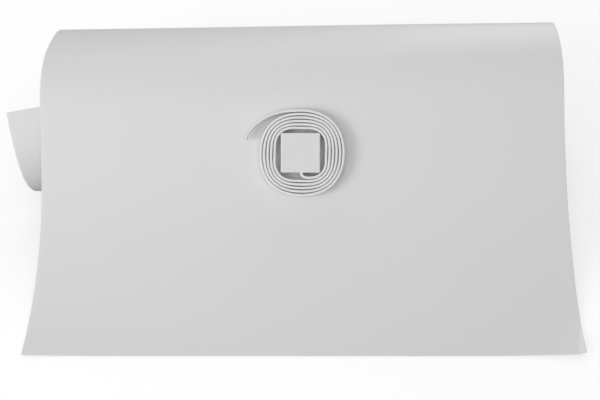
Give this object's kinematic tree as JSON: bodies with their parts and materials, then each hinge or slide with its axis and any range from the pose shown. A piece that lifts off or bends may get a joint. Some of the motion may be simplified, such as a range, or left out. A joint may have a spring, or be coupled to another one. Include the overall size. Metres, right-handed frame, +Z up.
{
  "type": "tree guard sheet with tie strap and spacer block",
  "caption": "Flexible plastic tree guard sheet rolled towards a tube, with a coiled flat tie strap and a square spacer block lying on it.",
  "frame": {"origin": "centre of the ground rectangle under the object, on the ground", "axes": "X along the roll, Y away from the free flap towards the tube, Z up"},
  "size_m": [0.6545, 0.442, 0.1645],
  "materials": {
    "sheet_plastic": "matt white, faint lengthwise lines",
    "strap_plastic": "satin white, soft",
    "block_plastic": "matt white"
  },
  "bodies": {
    "rolled_sheet": {"guard_sheet_roll": "sheet_plastic"},
    "sheet_flap": {"guard_sheet_flap": "sheet_plastic"},
    "strap_coil": {"tie_strap_coil": "strap_plastic"},
    "strap_tail": {"tie_strap_tail": "strap_plastic"},
    "block": {"spacer_block": "block_plastic"}
  },
  "joints": [
    {"name": "flap_bend", "type": "hinge", "parent": "rolled_sheet", "child": "sheet_flap", "pos_m": [0.02099, -0.0619, 0.03683], "axis": [-1, 0, 0], "range_deg": [0, 70]},
    {"name": "coil_lift", "type": "slide", "parent": "rolled_sheet", "child": "strap_coil", "axis": [0, -0.6749, 0.7379], "range_m": [0, 0.12]},
    {"name": "tail_peel", "type": "hinge", "parent": "strap_coil", "child": "strap_tail", "pos_m": [0.00815, 0.03674, 0.12783], "axis": [0, 0.7337, -0.6794], "range_deg": [0, 60]},
    {"name": "block_lift", "type": "slide", "parent": "strap_coil", "child": "block", "axis": [0, -0.6749, 0.7379], "range_m": [0, 0.05]}
  ]
}
